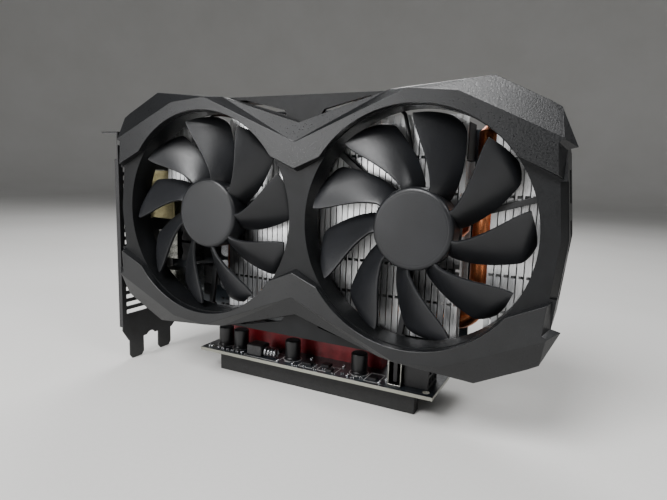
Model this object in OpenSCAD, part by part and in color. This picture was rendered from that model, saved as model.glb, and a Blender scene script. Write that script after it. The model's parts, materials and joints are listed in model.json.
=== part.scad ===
// Twin-fan graphics card standing on the riser board that it is plugged into.
// Sub-parts are drawn in the card frame: X along the card, Y from the fan face into the
// card, Z up, with the origin midway between the two fan centres on the fan face.

/* [Fans] */
// Distance between the two fan centres
fan_pitch = 99; // [97:0.5:101]
// Radius of each fan opening in the shroud
opening_r = 45.75; // [45:0.25:46.25]
// Number of blades on each rotor
blade_count = 9; // [7:1:11]
// Radius at the blade tips
tip_r = 43.4; // [42:0.2:44]
// Radius of the rotor hub
hub_r = 16.1; // [16:0.1:17]
// Turn of the left rotor's first blade, in degrees
left_phase = 106.7; // [0:0.1:360]
// Turn of the right rotor's first blade, in degrees
right_phase = 93; // [0:0.1:360]

/* [Shroud] */
// Half length of the shroud
shroud_half = 104.6; // [104:0.1:105]
// How far the armour stands proud of the fan face
armour_rise = 3.5; // [2.5:0.5:4]
// Wall thickness of the shroud
wall = 2; // [1.5:0.25:2.5]
// Depth of the shroud's side walls behind the fan face
shroud_depth = 30; // [28:0.5:31]

/* [Heatsink] */
// Spacing of the fins
fin_pitch = 2.75; // [2.5:0.05:3.5]
// Thickness of the fin sheet
fin_t = 0.35; // [0.3:0.05:0.5]
// Diameter of the heat pipes
pipe_d = 8; // [7:0.5:8]

/* [Board] */
// Distance from the fan face to the component side of the board
pcb_y = 36.9; // [36.5:0.1:37.5]
// Thickness of the circuit board
pcb_t = 1.6; // [1.4:0.1:1.6]

/* [Bracket] */
// Overall height of the expansion bracket
bracket_h = 120; // [119:0.5:121]
// Thickness of the bracket sheet
bracket_t = 0.8; // [0.7:0.1:1]

/* [Riser] */
// Length of the riser board
riser_l = 123; // [120:1:126]
// Width of the riser board
riser_w = 45; // [43:1:48]
// Height of the riser's feet
foot_h = 8.6; // [8:0.1:9]

/* [Hidden] */

$fn = 64;
fan_x = fan_pitch / 2;
tip_z = -82.5;                       // bracket tips, where the whole part stands
flange_z = tip_z + bracket_h;        // top face of the bracket's flange
bracket_x = -105.7;                  // inner face of the bracket sheet
flange_l = 11.4;                     // how far the flange stands out
riser_y = 15;                        // near edge of the riser board
pcb_back = pcb_y + pcb_t;
part_left = bracket_x - flange_l;
part_x = -(part_left + shroud_half) / 2;
part_y = -(riser_y + riser_w - armour_rise) / 2;

// Shroud levels along Y
body_half = 101.3;                   // half length of the shroud's body at its corners
body_mid = 104.2;                    // and at mid height
end_angle = 29;                      // slant of the strip down each end of the face
end_height = 20;                     // the strips stop under the armour
recess_y = 4;                        // face of the two recessed V panels
duct_end = 11.8;                     // rear edge of the fan ducts
frame_y = 12.2;                      // front of the fan frames
frame_t = 2;
fin_y = 15.5;                        // front of the fins
fin_back = 31;                       // rear of the fins clear of the base
base_front = 26;                     // front of the heatsink base
base_back = 33.8;
pipe_y = base_front;                 // axis of the heat pipes
pipe_r = pipe_d / 2;
bend_r = 10;                         // bend radius of the heat pipes
pipe_z = 39;                         // height of the outer pipes' long runs
lug_r = 47.6;                        // radius of the fan frame's screws
lug_angles = [17, 142, 262];

// Board
pcb_left = bracket_x + 1.2;
pcb_right = 66;
pcb_bottom = -59;
pcb_top = 40;
tab_left = -59;
tab_key = 11.65;                     // contacts before the key notch
key_w = 1.9;
tab_l = 84.9;
tab_depth = 8.2;

// Riser
riser_left = -65;
riser_top = -70.8;
riser_t = 1.6;
slot_y = pcb_y + pcb_t / 2;
slot_w = 7.5;
slot_h = 11.25;
slot_left = -61;
slot_l = 89;
hole_inset = 4;                      // riser's corner holes from its edges
hole_r = 1.6;

module card() translate([part_x, part_y, -tip_z]) children();

// A 2-D shape drawn in X and Z, made solid from y0 to y1
module slab(y0, y1) translate([0, y1, 0]) rotate([90, 0, 0]) linear_extrude(y1 - y0) children();
// A cylinder along Y
module rod(r, y0, y1) translate([0, y0, 0]) rotate([-90, 0, 0]) cylinder(h = y1 - y0, r = r);
// A tube along Y
module tube(ro, ri, y0, y1) slab(y0, y1) difference() { circle(ro); circle(ri); }
module at(x, z) translate([x, 0, z]) children();
module box(x0, x1, y0, y1, z0, z1) translate([x0, y0, z0]) cube([x1 - x0, y1 - y0, z1 - z0]);

function mirror_x(p) = [for (i = [len(p) - 1:-1:0]) [-p[i][0], p[i][1]]];
function flip_z(p) = [for (i = [len(p) - 1:-1:0]) [p[i][0], -p[i][1]]];

// ---------------------------------------------------------------- shroud

// Upper right quarter of the shroud's outline, moved in by d
function quarter(d) = [
    [body_half - d, 30 - 0.25 * d], [98 - 0.9 * d, 43 - 0.5 * d], [95.5 - 0.75 * d, 45.6 - 0.85 * d],
    [77 - 0.2 * d, 54.6 - 1.05 * d], [39 - 0.3 * d, 51.8 - d]];
// The whole outline; dip is the height of the V in the middle of the top and bottom
function outline(d, dip) = let (q = quarter(d), top = concat(q, [[0, dip]], mirror_x(q)))
    concat([[body_mid - d, 0]], top, [[d - body_mid, 0]], flip_z(top));

// Armour: the right half of its raised face and of its foot on the fan face. Each half has
// seven upper corners, then a lower edge that follows the fan opening.
armour_r = opening_r + 0.4;
armour_arc = [for (a = [145:-4.5:37]) [fan_x + armour_r * cos(a), armour_r * sin(a)]];
armour_face = concat(
    [[0, 32.2], [47, 51.6], [65.4, 49.9], [100, 33.9], [100.2, 33.6], [100.4, 33.2], [98.7, 32.3]],
    [[0, 21.6]], armour_arc, [[99.6, 21.6]]);
armour_foot = concat(
    [[0, 40.3], [39, 51.8], [77, 54.9], [95, 46], [98.6, 43.9], [shroud_half, 30.8], [101.2, 30]],
    [[0, 20.4]], armour_arc, [[101, 20.4]]);
corners = 7;
half_n = len(armour_face);
low_n = half_n - corners;
// Upper corner that each piece of the lower edge is joined to
function corner_of(j) = j < 8 ? 0 : j < 14 ? 1 : j < 21 ? 2 : 3;
half_plane = concat(
    [for (j = [0:low_n - 3]) [corner_of(j), corners + j + 1, corners + j]],
    [[6, half_n - 1, half_n - 2], [3, 6, half_n - 2], [3, 4, 6], [4, 5, 6]],
    [[0, 1, corners + 8], [1, 2, corners + 14], [2, 3, corners + 21]]);
half_rim = concat([for (i = [0:corners - 2]) [i, i + 1]], [[corners - 1, half_n - 1]],
    [for (i = [half_n - 1:-1:corners + 1]) [i, i - 1]]);
half_faces = concat(
    half_plane, [for (t = half_plane) [half_n + t[2], half_n + t[1], half_n + t[0]]],
    [for (e = half_rim) [e[0], half_n + e[0], half_n + e[1]]],
    [for (e = half_rim) [e[0], half_n + e[1], e[1]]]);
// The left half shares its points at X = 0 with the right half
function left_of(k) = k % half_n == 0 || k % half_n == corners ? k : k + 2 * half_n;

module armour() polyhedron(
    points = [for (s = [1, -1]) each concat(
        [for (p = armour_face) [s * p[0], -armour_rise, p[1]]], [for (p = armour_foot) [s * p[0], 0, p[1]]])],
    faces = concat(half_faces, [for (t = half_faces) [left_of(t[2]), left_of(t[1]), left_of(t[0])]]));
module upper_armour() color("#2b2c2f") card() armour();
module lower_armour() color("#2b2c2f") card() mirror([0, 0, 1]) armour();

module shroud_body() {
    difference() {
        slab(recess_y, shroud_depth) polygon(outline(0, 51.8));
        slab(recess_y + wall, shroud_depth + 1) polygon(outline(wall, 51.8 - wall));
    }
    difference() {
        slab(0, recess_y) polygon(outline(0, 40.3));
        // Slanted strip down each end of the fan face
        for (s = [0, 1], t = [0, 1]) mirror([s, 0, 0]) mirror([0, 0, t])
            translate([body_mid - 0.1, recess_y, 0]) rotate([0, -atan2(body_mid - body_half, 30), 0])
                rotate([0, 0, -end_angle]) translate([0, -10, 0]) cube([8, 10, end_height]);
    }
}

// Openings for the outgoing air, the sockets and the power plug
module shroud_windows() {
    for (s = [-1, 1]) box(-70, 36, 15, shroud_depth + 1, s * 52 - 6, s * 52 + 6);
    box(42, 67, 20, shroud_depth + 1, 45, 60);
    box(-106, -98, 8, shroud_depth + 1, -40, 40);
    box(-106, -88, 24, shroud_depth + 1, -60, -30);
    for (z = [-18, 0, 18]) box(99, 106, 14, 24, z - 6, z + 6);
}

// Long groove beside one arm of each V panel
module panel_groove() slab(recess_y - 1, recess_y + wall + 1)
    polygon([[8, 43.6], [9.5, 45.8], [29, 50.4], [33, 50.4]]);

module fan_shroud() color("#232427") card() difference() {
    union() {
        shroud_body();
        for (s = [-1, 1]) at(s * fan_x, 0) {
            rod(opening_r + 1.5, recess_y + 1, duct_end);
            for (a = lug_angles) rotate([0, -a, 0]) at(lug_r, 0) rod(2, recess_y + 1, frame_y);
        }
    }
    shroud_windows();
    for (s = [-1, 1]) at(s * fan_x, 0) {
        rod(opening_r, -1, duct_end + 2);
        for (a = lug_angles) rotate([0, -a, 0]) at(lug_r, 0) rod(0.7, 7, frame_y + 1);
    }
    for (s = [0, 1], t = [0, 1]) mirror([0, 0, s]) mirror([t, 0, 0]) panel_groove();
}

// ---------------------------------------------------------------- bracket and sockets

bracket_front = 1.3;
bracket_rear = 39.4;
tongue_pitch = 20.32;
tongue_y = 10.5;
tongue_w = 9.6;
vent_pitch = 4.15;
vent_count = 21;

module tongue(y) polygon([
    [y - tongue_w / 2, -68], [y - tongue_w / 2, tip_z + 2], [y - tongue_w / 2 + 1.6, tip_z],
    [y + tongue_w / 2 - 1.6, tip_z], [y + tongue_w / 2, tip_z + 2], [y + tongue_w / 2, -68]]);

// The bracket's sheet, drawn in Y and Z
module bracket_sheet() difference() {
    union() {
        polygon([[bracket_front, flange_z], [bracket_rear, flange_z], [bracket_rear, -69.5],
            [36.4, -72], [5.2, -72], [bracket_front, -66]]);
        tongue(tongue_y);
        tongue(tongue_y + tongue_pitch);
    }
    translate([tongue_y + tongue_pitch / 2, -74]) circle(3.6);
    for (i = [0:vent_count - 1]) translate([4.2, -57.2 + i * vent_pitch]) square([14, 2.2]);
    for (s = sockets) translate([s[1] - s[3] / 2, s[2] - s[4] / 2]) square([s[3], s[4]]);
}

// Display sockets: name, centre Y, centre Z, width along Y, height along Z, depth along X
sockets = [
    ["dvi", 27.6, 6, 11.6, 26, 17],
    ["hdmi", 31.4, -22, 6.6, 15.4, 13],
    ["displayport", 31.2, -44, 7, 17, 15]];
fit = 0.3;                           // gap between a socket and the bracket around it
ear_spots = [-56.5, 31];             // heights of the ears that the board is screwed to

module in_x(x0, x1) translate([x0, 0, 0]) rotate([90, 0, 90]) linear_extrude(x1 - x0) children();

module bracket() color("#2a2b2e") card() {
    difference() {
        union() {
            in_x(bracket_x - bracket_t, bracket_x) bracket_sheet();
            box(part_left, bracket_x, bracket_front, bracket_rear, flange_z - bracket_t, flange_z);
            // Front edge folded outwards as a stiffening lip
            box(bracket_x - 2.6, bracket_x, bracket_front, bracket_front + bracket_t, -64, 24);
            // Ears that the board is screwed to
            for (z = ear_spots) box(bracket_x, bracket_x + 9, pcb_back, bracket_rear, z - 3.5, z + 3.5);
        }
        for (i = [0, 1]) translate([part_left, tongue_y + 1 + i * tongue_pitch, flange_z - 2]) {
            cylinder(h = 4, r = 2.2);
            translate([-3, -2.2, 0]) cube([3, 4.4, 4]);
        }
        for (z = ear_spots) at(bracket_x + 5, z) rod(1.5, pcb_back - 1, bracket_rear + 1);
    }
}

module screw(head_r, head_t, shank_r, y_head, y_tip) {
    difference() {
        rod(head_r, y_head, y_head + head_t);
        slab(y_head + head_t * 0.5, y_head + head_t + 1) {
            square([head_r * 1.1, 0.35], center = true);
            square([0.35, head_r * 1.1], center = true);
        }
    }
    rod(shank_r, y_tip, y_head);
}

module bracket_screws() color("#1b1b1d") card()
    for (z = ear_spots) at(bracket_x + 5, z) screw(2.5, 1.4, 1.4, bracket_rear, pcb_y - 1);

function socket(name) = [for (s = sockets) if (s[0] == name) s][0];

// Pressed metal shell of a socket, open towards the bracket
module socket_shell(name, t) {
    s = socket(name);
    difference() {
        box(bracket_x - 1.5, bracket_x + s[5], s[1] - s[3] / 2 + fit, pcb_y,
            s[2] - s[4] / 2 + fit, s[2] + s[4] / 2 - fit);
        box(bracket_x - 2, bracket_x + s[5] - t, s[1] - s[3] / 2 + fit + t, pcb_y - t,
            s[2] - s[4] / 2 + fit + t, s[2] + s[4] / 2 - fit - t);
        // Solder side beyond the mouth's own height
        box(bracket_x - 2, bracket_x + 0.2, s[1] + s[3] / 2 - fit, pcb_y + 1, s[2] - 30, s[2] + 30);
    }
}
// Moulded block that holds the contacts inside a shell
module socket_insert(name, t, tongue_t) {
    s = socket(name);
    box(bracket_x + s[5] - t - 4, bracket_x + s[5] - t, s[1] - s[3] / 2 + fit + t, pcb_y - t,
        s[2] - s[4] / 2 + fit + t, s[2] + s[4] / 2 - fit - t);
    box(bracket_x, bracket_x + s[5] - t - 4, s[1] - tongue_t / 2, s[1] + tongue_t / 2,
        s[2] - s[4] / 2 + 3, s[2] + s[4] / 2 - 3);
}
module dvi_shell() color("#b9a36a") card() socket_shell("dvi", 0.5);
module dvi_insert() color("#e8e6df") card() socket_insert("dvi", 0.5, 5);
module dvi_posts() color("#c9b37a") card() for (s = [-1, 1])
    translate([bracket_x - bracket_t - 4.5, 27.6, 6 + s * 15.8]) rotate([0, 90, 0]) difference() {
        cylinder(h = 4.5, r = 2.6, $fn = 6);
        translate([0, 0, -1]) cylinder(h = 4, r = 1.2, $fn = 32);
    }
module hdmi_shell() color("#c8c8c4") card() socket_shell("hdmi", 0.4);
module hdmi_insert() color("#161616") card() socket_insert("hdmi", 0.4, 1.4);
module displayport_shell() color("#c8c8c4") card() socket_shell("displayport", 0.4);
module displayport_insert() color("#161616") card() socket_insert("displayport", 0.4, 1.6);

// ---------------------------------------------------------------- board

gpu_x = 0;
gpu_z = -2;
gpu_w = 37;
die_w = 17;
brace_reach = 24;                    // retention screws from the chip's centre
memory_w = [12, 14];
memory_spots = [for (i = [0:2]) [-32, -22 + i * 18], for (i = [-1:1]) [i * 17, -36]];
choke_spots = [[-70, -14], [-86, -14], [-86, -25], [-70, -36]];
capacitor_spots = [for (i = [0:3]) [-59, -12 - i * 9], for (i = [0:1]) [-84.5, -35.8 - i * 7.8]];

module board_outline() {
    difference() {
        translate([pcb_left, pcb_bottom]) square([pcb_right - pcb_left, pcb_top - pcb_bottom]);
        for (s = [-1, 1], t = [-1, 1]) translate([gpu_x + s * brace_reach, gpu_z + t * brace_reach])
            circle(1.6);
        for (z = ear_spots) translate([bracket_x + 5, z]) circle(1.5);
    }
    difference() {
        translate([tab_left, pcb_bottom - tab_depth]) square([tab_l, tab_depth + 1]);
        translate([tab_left + tab_key, pcb_bottom - tab_depth - 1]) square([key_w, tab_depth + 1]);
    }
}
module circuit_board() color("#15171a") card() slab(pcb_y, pcb_back) board_outline();

// Gold contacts on both faces of the edge tab
contact_t = 0.06;
module edge_contacts() color("#d8b04a") card() for (i = [0:81]) {
    x = tab_left + 0.6 + (i < 11 ? i : i + key_w + 0.55) * 1.0;
    if (x < tab_left + tab_l - 1)
        for (y = [pcb_y - contact_t, pcb_back])
            box(x, x + 0.7, y, y + contact_t, pcb_bottom - tab_depth + 0.8, pcb_bottom - 2.6);
}

module chip(x, z, w, h, t) box(x - w / 2, x + w / 2, pcb_y - t, pcb_y, z - h / 2, z + h / 2);

module gpu_package() color("#1d3a2a") card() chip(gpu_x, gpu_z, gpu_w, gpu_w, 1.9);
module gpu_die() color("#9aa2a8") card()
    box(gpu_x - die_w / 2, gpu_x + die_w / 2, base_back + 0.1, pcb_y - 1.9,
        gpu_z - die_w / 2, gpu_z + die_w / 2);
module memory_chips() color("#101113") card()
    for (p = memory_spots) chip(p[0], p[1], memory_w[0], memory_w[1], 1.2);
module power_chokes() color("#2b2c2e") card() for (p = choke_spots) {
    difference() {
        chip(p[0], p[1], 10, 10, 7);
        for (s = [-1, 1]) chip(p[0] + s * 5, p[1], 1.2, 4, 7.1);
    }
}
module power_transistors() color("#17181a") card()
    for (i = [0:4]) chip(-78, -4 - i * 10.5, 5, 6, 1);
module board_capacitors() color("#b8babd") card() for (p = capacitor_spots) at(p[0], p[1]) {
    difference() {
        rod(3.6, pcb_y - 9, pcb_y - 0.6);
        tube(5, 3.3, pcb_y - 2.6, pcb_y - 1.9);
    }
    slab(pcb_y - 0.6, pcb_y) square([7.4, 7.4], center = true);
}
module board_chips() color("#1c1d20") card() {
    for (i = [0:7], j = [0:1]) chip(-68 + i * 3, -50 - j * 3, 1.6, 0.9, 0.7);
    for (i = [0:9]) chip(38 + i * 2.4, -44 + (i % 2) * 3, 1.6, 0.9, 0.7);
    for (p = [[44, -30], [52, -12], [52, 6]]) chip(p[0], p[1], 7, 7, 1);
    for (i = [0:5]) chip(28 + i * 4, -52, 2.4, 1.4, 0.9);
}

// Eight-pin power socket at the far top corner, opening upwards
socket_x0 = 44;
socket_w = 20;
module power_socket() color("#141416") card() difference() {
    box(socket_x0, socket_x0 + socket_w, pcb_y - 12.5, pcb_y - 0.01, 27, pcb_top + 2);
    for (i = [0:3], j = [0:1])
        translate([socket_x0 + 1.2 + i * 4.6, pcb_y - 11.2 + j * 5.2, 31]) cube([3.8, 4, 20]);
}
module fan_header() color("#e9e7e0") card() difference() {
    box(-54.5, -46.5, pcb_y - 4, pcb_y, 33, 39);
    box(-53.7, -47.3, pcb_y - 3.3, pcb_y - 0.8, 36, 40);
}

// ---------------------------------------------------------------- heatsink

base_x0 = -38;
base_x1 = 34;
base_half = 43.5;

module heatsink_base() color("#b9bbbd") card() difference() {
    union() {
        box(base_x0, base_x1, base_front, base_back, -base_half, base_half);
        box(gpu_x - 14, gpu_x + 14, base_back - 1, base_back + 0.1, gpu_z - 14, gpu_z + 14);
    }
    for (z = [-pipe_z, 0, pipe_z]) translate([base_x0 - 1, pipe_y, z]) rotate([0, 90, 0])
        cylinder(h = base_x1 - base_x0 + 2, r = pipe_r + 0.02);
    for (s = [-1, 1], t = [-1, 1]) at(gpu_x + s * brace_reach, gpu_z + t * brace_reach)
        rod(1.25, base_back - 4, base_back + 1);
}

module pipe_run(x0, x1, z) translate([x0, pipe_y, z]) rotate([0, 90, 0])
    cylinder(h = x1 - x0, r = pipe_r);
module pipe_post(x, z0, z1) translate([x, pipe_y, z0]) cylinder(h = z1 - z0, r = pipe_r);

// Pipe that runs along X and turns up at its right end
module elbow_pipe(run_start, post_x, post_top) {
    pipe_run(run_start, post_x - bend_r, -pipe_z);
    translate([post_x - bend_r, pipe_y, -pipe_z + bend_r]) rotate([90, 0, 0]) rotate([0, 0, -90])
        rotate_extrude(angle = 90) translate([bend_r, 0]) circle(pipe_r, $fn = 32);
    pipe_post(post_x, -pipe_z + bend_r, post_top);
    translate([post_x, pipe_y, post_top]) cylinder(h = 3, r1 = pipe_r, r2 = 1);
}
right_post = 71.5;
left_post = 51;
pipe_end = 32;                       // where the outer pipes end inside the base
module heat_pipe_right() color("#b4653a") card() elbow_pipe(-pipe_end, right_post, 38);
module heat_pipe_left() color("#b4653a") card() rotate([0, 180, 0]) elbow_pipe(-pipe_end, left_post, 38);
module heat_pipe_centre() color("#b4653a") card() {
    pipe_run(-45, 64, 0);
    translate([64, pipe_y, 0]) rotate([0, 90, 0]) cylinder(h = 2, r1 = pipe_r, r2 = 1.5);
}

// One folded fin: a sheet with a tab along its front and rear edges, holes for the pipes that
// pass through it and small notches in its front tab
tab = 2.3;
module fin(x, y1, z0, z1, pipes, notches) difference() {
    translate([x, 0, z0]) linear_extrude(z1 - z0) polygon([
        [0, fin_y], [tab, fin_y], [tab, fin_y + fin_t], [fin_t, fin_y + fin_t],
        [fin_t, y1 - fin_t], [tab, y1 - fin_t], [tab, y1], [0, y1]]);
    for (z = pipes) translate([x - 1, pipe_y, z]) rotate([0, 90, 0])
        cylinder(h = 4, r = pipe_r + 0.02, $fn = 32);
    for (z = notches) box(x + 0.7, x + tab + 1, fin_y - 1, fin_y + 1, z, z + 1.1);
}
function count(x0, x1) = floor((x1 - x0) / fin_pitch);
fin_low = -46;
fin_high = 44;
elbow_clear = pipe_z - bend_r - 0.5; // fins are shallow beyond this height beside a bend
shallow_back = pipe_y - pipe_r - 0.3;

fin_start = -46.75;
module fin_stack_centre() color("#c9cbcd") card()
    for (i = [0:count(fin_start, right_post - pipe_r + 0.1) - 1]) {
        x = fin_start + i * fin_pitch;
        over_base = x + tab > base_x0 - 0.2 && x < base_x1 + 0.2;
        right_bend = x + tab > right_post - bend_r;
        left_bend = x < bend_r - left_post;
        beside_plug = x + tab > socket_x0 - 0.3 && x < socket_x0 + socket_w + 0.3;
        difference() {
            union() {
                fin(x, over_base ? base_front : fin_back, right_bend ? -elbow_clear : fin_low,
                    left_bend ? elbow_clear : fin_high,
                    [if (x + tab > -pipe_end) -pipe_z, 0, if (x < pipe_end) pipe_z], [-17, -31, 13, 27]);
                if (right_bend) fin(x, shallow_back, fin_low, -elbow_clear, [], [-31]);
                if (left_bend) fin(x, shallow_back, elbow_clear, fin_high, [], []);
            }
            if (beside_plug) box(x - 1, x + 3, pcb_y - 12.8, fin_back + 1, 26.6, fin_high + 1);
        }
    }
module fin_stack_right() color("#c9cbcd") card() for (i = [0:count(76, 98) - 1])
    fin(76 + i * fin_pitch, fin_back, -38, 38, [], [-17, -31, 13, 27]);
module fin_stack_left() color("#c9cbcd") card() for (i = [0:count(-86, -55.5) - 1])
    fin(-86 + i * fin_pitch, fin_back, 6, fin_high, [], [27]);

module thermal_pads() color("#8f9ba6") card() for (p = memory_spots)
    box(p[0] - 5.5, p[0] + 5.5, base_back, pcb_y - 1.2, p[1] - 3.5, p[1] + 3.5);

module retention_brace() color("#9c9ea0") card() slab(pcb_back + 0.6, pcb_back + 1.8) difference() {
    union() {
        for (a = [45, 135]) translate([gpu_x, gpu_z]) rotate(a)
            square([brace_reach * 2.83 + 7, 8], center = true);
        translate([gpu_x, gpu_z]) square([24, 24], center = true);
    }
    for (s = [-1, 1], t = [-1, 1]) translate([gpu_x + s * brace_reach, gpu_z + t * brace_reach])
        circle(1.6);
    translate([gpu_x, gpu_z]) circle(8);
}
module retention_screws() color("#d0d2d4") card()
    for (s = [-1, 1], t = [-1, 1]) at(gpu_x + s * brace_reach, gpu_z + t * brace_reach)
        screw(3, 1.6, 1.2, pcb_back + 1.8, base_back - 3.5);

// ---------------------------------------------------------------- fans

base_r = 15.4;
boss_r = 3.6;
bearing_r = 2.6;
shaft_r = 1;
bearing_front = 5;

module frame_outline() difference() {
    union() {
        circle(base_r);
        for (a = lug_angles) rotate(a) {
            translate([0, -1.2]) square([lug_r, 2.4]);
            translate([lug_r, 0]) circle(2.6);
        }
    }
    for (a = lug_angles) rotate(a) translate([lug_r, 0]) circle(0.95);
}
module fan_frame(side) card() at(side * fan_x, 0) difference() {
    union() {
        slab(frame_y, frame_y + frame_t) frame_outline();
        rod(boss_r, bearing_front, frame_y + 1);
    }
    rod(bearing_r, bearing_front - 1, frame_y + frame_t - 0.8);
}
module fan_frame_left() color("#1a1b1d") fan_frame(-1);
module fan_frame_right() color("#1a1b1d") fan_frame(1);

module fan_screws() color("#1b1b1d") card() for (s = [-1, 1], a = lug_angles)
    at(s * fan_x, 0) rotate([0, -a, 0]) at(lug_r, 0) screw(1.8, 0.9, 0.65, frame_y + frame_t, 8);

module bearing(side) card() at(side * fan_x, 0)
    tube(bearing_r, shaft_r + 0.03, bearing_front, frame_y + frame_t - 0.8);
module bearing_left() color("#a98c4b") bearing(-1);
module bearing_right() color("#a98c4b") bearing(1);

stator_y = [7.4, 10.2];
module stator(side) card() at(side * fan_x, 0) slab(stator_y[0], stator_y[1]) difference() {
    union() {
        circle(5.4);
        for (a = [0:90:270]) rotate(a) translate([0, -1.2]) square([10.4, 2.4]);
        difference() {
            circle(11.5);
            circle(10);
            for (a = [0:90:270]) rotate(a + 45) translate([0, -1]) square([20, 2]);
        }
    }
    circle(boss_r + 0.01);
}
module stator_left() color("#55585c") stator(-1);
module stator_right() color("#55585c") stator(1);

module coils(side) card() at(side * fan_x, 0) for (a = [0:90:270]) rotate([0, a, 0]) difference() {
    box(5.8, 9.4, stator_y[0] - 1.2, stator_y[1] + 1.2, -2.6, 2.6);
    box(5, 10, stator_y[0] - 0.01, stator_y[1] + 0.01, -1.21, 1.21);
}
module coils_left() color("#a5532b") coils(-1);
module coils_right() color("#a5532b") coils(1);

// Rotor cup with its rounded front edge
hub_face = 1.2;
hub_back = 11.7;
module hub_cup() rotate([-90, 0, 0]) rotate_extrude() polygon([
    [0, hub_face], [hub_r - 1.4, hub_face], [hub_r - 0.5, hub_face + 0.35],
    [hub_r, hub_face + 1.1], [hub_r, hub_back], [hub_r - 1.8, hub_back],
    [hub_r - 1.8, hub_face + 1.8], [2.2, hub_face + 1.8], [2.2, 4.4], [0, 4.4]]);

// Blade edges, in degrees behind the blade's front tip, at a given radius
function inward(r) = (tip_r - 0.4 - r) / (tip_r - 0.4 - 17);
function front_angle(r) = -23 * pow(max(inward(r), 0), 1.6);
function rear_angle(r) = -25 - 22 * pow(max(inward(r), 0), 1.15);
function corner(r) = r > tip_r - 4 ? 9 * pow((r - tip_r + 4) / 4, 2.2) : 0;
function blade_y(u) = 2.6 + 8.2 * (0.55 * u + 0.45 * u * u);
blade_t = 1.3;
radial_steps = 7;
chord_steps = 5;
root_r = 15.2;
function blade_r(i) = root_r + (tip_r - root_r) * i / radial_steps;
function blade_point(i, j, side) = let (
    r = blade_r(i), u = j / chord_steps,
    a = front_angle(max(r, 17)) * (1 - u) + (rear_angle(max(r, 17)) + corner(r)) * u,
    t = blade_t * (0.25 + 0.75 * sin(180 * min(max(u, 0.12), 0.88))))
    [r * cos(a), blade_y(u) + side * t / 2, r * sin(a)];
module blade() {
    n = chord_steps + 1;
    m = radial_steps + 1;
    all = n * m;
    function q(i, j, s) = s * all + i * n + j;
    rim = concat(
        [for (i = [0:m - 2]) [i, 0, i + 1, 0]], [for (j = [0:n - 2]) [m - 1, j, m - 1, j + 1]],
        [for (i = [m - 1:-1:1]) [i, n - 1, i - 1, n - 1]], [for (j = [n - 1:-1:1]) [0, j, 0, j - 1]]);
    polyhedron(
        points = [for (s = [0, 1], i = [0:m - 1], j = [0:n - 1]) blade_point(i, j, s == 0 ? -1 : 1)],
        faces = concat(
            [for (i = [0:m - 2], j = [0:n - 2]) [q(i, j, 0), q(i + 1, j, 0), q(i + 1, j + 1, 0)]],
            [for (i = [0:m - 2], j = [0:n - 2]) [q(i, j, 0), q(i + 1, j + 1, 0), q(i, j + 1, 0)]],
            [for (i = [0:m - 2], j = [0:n - 2]) [q(i, j, 1), q(i + 1, j + 1, 1), q(i + 1, j, 1)]],
            [for (i = [0:m - 2], j = [0:n - 2]) [q(i, j, 1), q(i, j + 1, 1), q(i + 1, j + 1, 1)]],
            [for (e = rim) [q(e[0], e[1], 0), q(e[0], e[1], 1), q(e[2], e[3], 1)]],
            [for (e = rim) [q(e[0], e[1], 0), q(e[2], e[3], 1), q(e[2], e[3], 0)]]));
}
module rotor(side, phase) card() at(side * fan_x, 0) difference() {
    union() {
        hub_cup();
        for (k = [0:blade_count - 1]) rotate([0, -phase - k * 360 / blade_count, 0]) blade();
    }
    rod(shaft_r, 3, 5);
    rod(hub_r - 1.8, 4.4, hub_back + 1);
}
module rotor_left() color("#2c2d30") rotor(-1, left_phase);
module rotor_right() color("#2c2d30") rotor(1, right_phase);

module shaft(side) card() at(side * fan_x, 0) rod(shaft_r, 3, frame_y + frame_t - 1.2);
module shaft_left() color("#d5d7da") shaft(-1);
module shaft_right() color("#d5d7da") shaft(1);

module magnet_ring(side) card() at(side * fan_x, 0) tube(hub_r - 1.8, hub_r - 3.6, 5.4, 11.2);
module magnet_ring_left() color("#3a3634") magnet_ring(-1);
module magnet_ring_right() color("#3a3634") magnet_ring(1);

// Round lead swept along a list of points
lead_r = 0.8;
lead_sides = 8;
function unit(v) = v / norm(v);
function heading(p, i) = unit(p[min(i + 1, len(p) - 1)] - p[max(i - 1, 0)]);
function lead_ring(p, i) = let (
    d = heading(p, i), a = unit(cross(d, [0.31, 0.17, 0.93])), b = cross(d, a))
    [for (k = [0:lead_sides - 1]) p[i] + lead_r * (cos(k * 360 / lead_sides) * a + sin(k * 360 / lead_sides) * b)];
module lead(p) {
    n = len(p);
    s = lead_sides;
    polyhedron(
        points = [for (i = [0:n - 1]) each lead_ring(p, i)],
        faces = concat(
            [[for (k = [0:s - 1]) k]], [[for (k = [s - 1:-1:0]) (n - 1) * s + k]],
            [for (i = [0:n - 2], k = [0:s - 1]) [i * s + k, (i + 1) * s + k, i * s + (k + 1) % s]],
            [for (i = [0:n - 2], k = [0:s - 1])
                [i * s + (k + 1) % s, (i + 1) * s + k, (i + 1) * s + (k + 1) % s]]));
}
lead_y = 13.2;
left_route = [
    [-52.4, lead_y, 15.6], [-53.5, lead_y, 24], [-55.4, lead_y, 34], [-57.2, lead_y, 41],
    [-57.6, 13.8, 44], [-57, 16, 46], [-55.6, 20, 46.6], [-53.6, 25, 46.4], [-52.2, 30, 45.2],
    [-51.6, 33, 43], [-51.4, 34.6, 40.6], [-51.4, 34.8, 38.4], [-51.4, 34.8, 36.6]];
right_route = [
    [46.6, lead_y, 15.6], [45.4, lead_y, 24], [43.4, lead_y, 34], [41.6, lead_y, 41],
    [40.6, 13.8, 44], [38, 16, 46], [33, 19, 46.8], [22, 21, 46.9], [8, 22, 46.9], [-8, 22.5, 46.9],
    [-24, 23, 46.9], [-38, 25, 46.6], [-45, 28, 46], [-48.4, 31.4, 44], [-49.2, 34, 41.4],
    [-49.4, 34.8, 39], [-49.4, 34.8, 36.6]];
module fan_lead_left() color("#121214") card() lead(left_route);
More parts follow.
